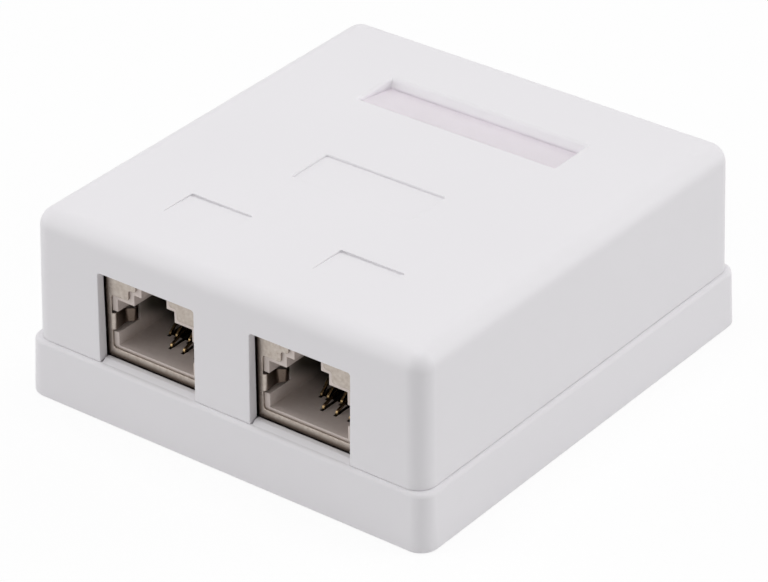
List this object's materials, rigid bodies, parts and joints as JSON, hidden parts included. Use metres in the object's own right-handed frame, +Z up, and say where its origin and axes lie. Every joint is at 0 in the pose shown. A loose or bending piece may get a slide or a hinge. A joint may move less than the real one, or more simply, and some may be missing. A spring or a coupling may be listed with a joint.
{
  "type": "surface mount jack box",
  "caption": "Low white moulded box with rounded edges whose front openings hold shielded network jacks; it stands free or is screwed to a wall.",
  "frame": {"origin": "centre of the footprint, on the underside that rests on a surface", "axes": "+Z up, +Y from the front with the ports to the back, +X along the front to the right"},
  "size_m": [0.063, 0.0684, 0.0265],
  "materials": {
    "white_moulding": "fine moulded satin",
    "clear_window": "clear moulded sheet",
    "label_card": "plain card",
    "nickel_sheet": "nickel-plated rolled sheet",
    "insert_moulding": "moulded, light grey",
    "gold_contact": "gold-plated wire",
    "board_laminate": "green solder mask",
    "strip_moulding": "moulded, ivory",
    "tinned_blade": "tinned",
    "tinned_sheet": "tinned sheet",
    "screw_steel": "zinc plated"
  },
  "bodies": {
    "base": {"base": "white_moulding", "circuit_board": "board_laminate", "earthing_plate": "tinned_sheet", "board_screws": "screw_steel", "clamp_screws": "screw_steel", "jack_shield_left": "nickel_sheet", "jack_insert_left": "insert_moulding", "jack_contacts_left": "gold_contact", "cable_clamp_left": "tinned_sheet", "punch_strip_left_front": "strip_moulding", "strip_blades_left_front": "tinned_blade", "punch_strip_left_rear": "strip_moulding", "strip_blades_left_rear": "tinned_blade", "jack_shield_right": "nickel_sheet", "jack_insert_right": "insert_moulding", "jack_contacts_right": "gold_contact", "cable_clamp_right": "tinned_sheet", "punch_strip_right_front": "strip_moulding", "strip_blades_right_front": "tinned_blade", "punch_strip_right_rear": "strip_moulding", "strip_blades_right_rear": "tinned_blade"},
    "cover": {"cover": "white_moulding", "label_window": "clear_window", "label_card": "label_card"}
  },
  "joints": [
    {"name": "cover_lift", "type": "slide", "parent": "base", "child": "cover", "axis": [0, 0, 1], "range_m": [0, 0.03]}
  ]
}
